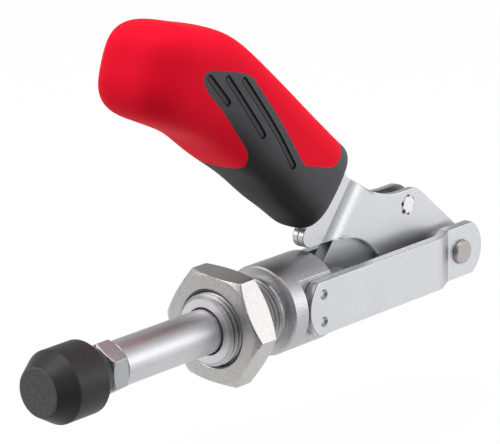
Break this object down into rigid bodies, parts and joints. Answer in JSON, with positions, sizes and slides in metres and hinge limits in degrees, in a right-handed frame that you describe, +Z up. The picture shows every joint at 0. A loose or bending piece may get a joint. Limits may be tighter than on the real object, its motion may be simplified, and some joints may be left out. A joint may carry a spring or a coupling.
{
  "type": "push-pull toggle clamp",
  "caption": "Straight-line toggle clamp with a threaded mounting neck, lock nut, rubber-tipped plunger and a two-material hand lever.",
  "frame": {"origin": "on the plunger's axis, in the plane of the collar's front face, against which a bracket lies", "axes": "+X is the way the plunger pushes, +Y is the clamp's left side seen from behind, +Z is up, on the lever's side"},
  "size_m": [0.1738, 0.0346, 0.1039],
  "materials": {
    "zinc_steel": "satin zinc plating",
    "nut_steel": "plain turned steel",
    "bright_steel": "bright ground steel",
    "red_plastic": "fine matt",
    "black_soft_plastic": "soft grained",
    "black_rubber": "moulded matt"
  },
  "bodies": {
    "frame": {"body": "zinc_steel", "side_plate_left": "zinc_steel", "side_plate_right": "zinc_steel", "plate_rivets_left": "zinc_steel", "plate_rivets_right": "zinc_steel", "spacer_left": "zinc_steel", "spacer_right": "zinc_steel", "lever_pin": "nut_steel"},
    "lever": {"lever_cheek_left": "zinc_steel", "lever_cheek_right": "zinc_steel", "stop_pin": "bright_steel", "crank_pin": "nut_steel", "grip_core": "red_plastic", "grip_cover": "black_soft_plastic"},
    "link": {"link": "zinc_steel"},
    "plunger": {"plunger": "bright_steel", "plunger_pin": "nut_steel", "tip_nut": "bright_steel"},
    "tip": {"tip_screw": "bright_steel", "rubber_cap": "black_rubber"},
    "lock_nut": {"lock_nut": "nut_steel"}
  },
  "joints": [
    {"name": "lever_hinge", "type": "hinge", "parent": "frame", "child": "lever", "pos_m": [-0.078, 0, 0], "axis": [0, -1, 0], "range_deg": [0, 70]},
    {"name": "crank_hinge", "type": "hinge", "parent": "lever", "child": "link", "pos_m": [-0.053, 0, -0.00065], "axis": [0, -1, 0], "range_deg": [-140, 0]},
    {"name": "plunger_hinge", "type": "hinge", "parent": "link", "child": "plunger", "pos_m": [-0.028, 0, 0], "axis": [0, -1, 0], "range_deg": [0, 70]},
    {"name": "tip_slide", "type": "slide", "parent": "plunger", "child": "tip", "axis": [1, 0, 0], "range_m": [0, 0.012]},
    {"name": "lock_nut_slide", "type": "slide", "parent": "frame", "child": "lock_nut", "axis": [1, 0, 0], "range_m": [-0.0082, 0.0025]}
  ],
  "couplings": [
    {"joint": "crank_hinge", "follows": "lever_hinge", "ratio": -2},
    {"joint": "plunger_hinge", "follows": "lever_hinge", "ratio": 1}
  ]
}
